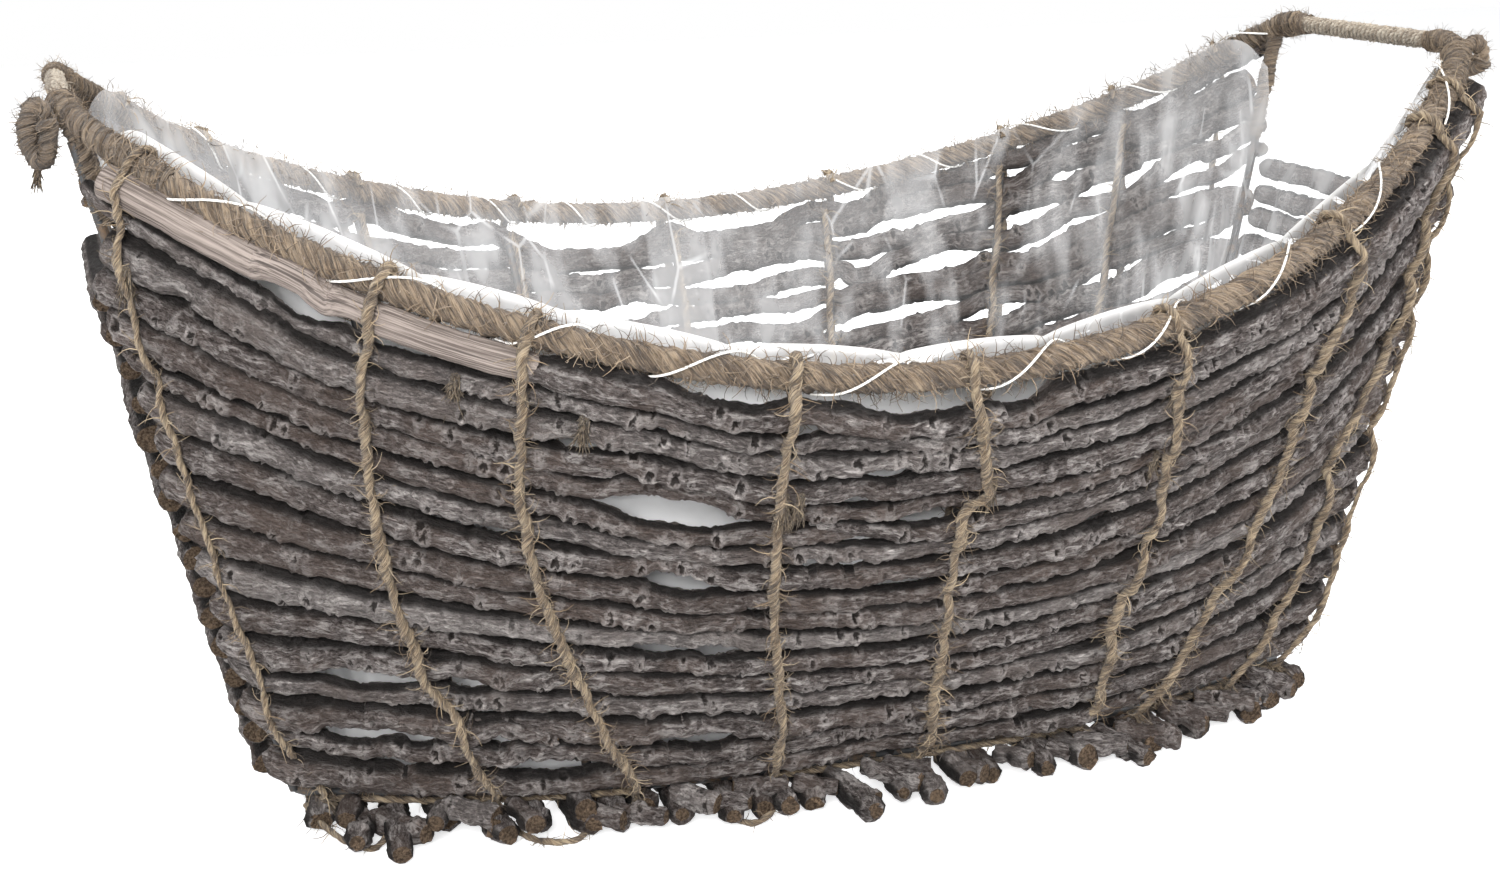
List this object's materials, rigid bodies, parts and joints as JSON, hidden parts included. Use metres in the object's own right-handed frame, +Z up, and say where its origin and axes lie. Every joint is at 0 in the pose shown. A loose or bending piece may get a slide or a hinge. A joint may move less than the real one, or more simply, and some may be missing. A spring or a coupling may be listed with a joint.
{
  "type": "planter basket",
  "caption": "Boat-shaped planter basket of lashed wooden sticks on a wire frame, with a wound handle at each end and a film lining.",
  "frame": {"origin": "middle of the basket's footprint, on the surface it stands on", "axes": "+X along the basket from handle to handle, +Y across it towards its back, +Z up"},
  "size_m": [0.5134, 0.3597, 0.2576],
  "materials": {
    "coco_stick": "rough grey-brown bark",
    "wire": "dark dull steel wire",
    "jute": "hairy twisted brown jute",
    "pale_jute": "pale close-wound jute",
    "thread": "white cotton thread",
    "film": "clear creased film"
  },
  "bodies": {
    "root": {"back_left_corner_lashing": "jute", "back_left_lashings": "jute", "back_middle_lashings": "jute", "back_right_corner_lashing": "jute", "back_right_lashings": "jute", "back_rim_wrap": "jute", "back_stick_01": "coco_stick", "back_stick_02": "coco_stick", "back_stick_03": "coco_stick", "back_stick_04": "coco_stick", "back_stick_05": "coco_stick", "back_stick_06": "coco_stick", "back_stick_07": "coco_stick", "back_stick_08": "coco_stick", "back_stick_09": "coco_stick", "back_stick_10": "coco_stick", "back_stick_11": "coco_stick", "back_stick_12": "coco_stick", "back_stick_13": "coco_stick", "back_stick_14": "coco_stick", "back_stick_15": "coco_stick", "back_stick_16": "coco_stick", "back_stick_17": "coco_stick", "back_stitching": "thread", "base_mat": "coco_stick", "base_ring_with_ribs": "wire", "front_left_corner_lashing": "jute", "front_left_lashings": "jute", "front_middle_lashings": "jute", "front_right_corner_lashing": "jute", "front_right_lashings": "jute", "front_rim_wrap": "jute", "front_stick_01": "coco_stick", "front_stick_02": "coco_stick", "front_stick_03_left": "coco_stick", "front_stick_03_right": "coco_stick", "front_stick_04": "coco_stick", "front_stick_05": "coco_stick", "front_stick_06": "coco_stick", "front_stick_07": "coco_stick", "front_stick_08": "coco_stick", "front_stick_09_left": "coco_stick", "front_stick_09_right": "coco_stick", "front_stick_10": "coco_stick", "front_stick_11": "coco_stick", "front_stick_12_left": "coco_stick", "front_stick_12_right": "coco_stick", "front_stick_13": "coco_stick", "front_stick_14_left": "coco_stick", "front_stick_14_right": "coco_stick", "front_stick_15": "coco_stick", "front_stick_16": "coco_stick", "front_stick_17": "coco_stick", "front_stitching": "thread", "left_end_wall": "coco_stick", "left_handle_winding": "pale_jute", "liner": "film", "right_end_wall": "coco_stick", "right_handle_winding": "pale_jute", "rim_wire": "wire"}
  },
  "joints": []
}
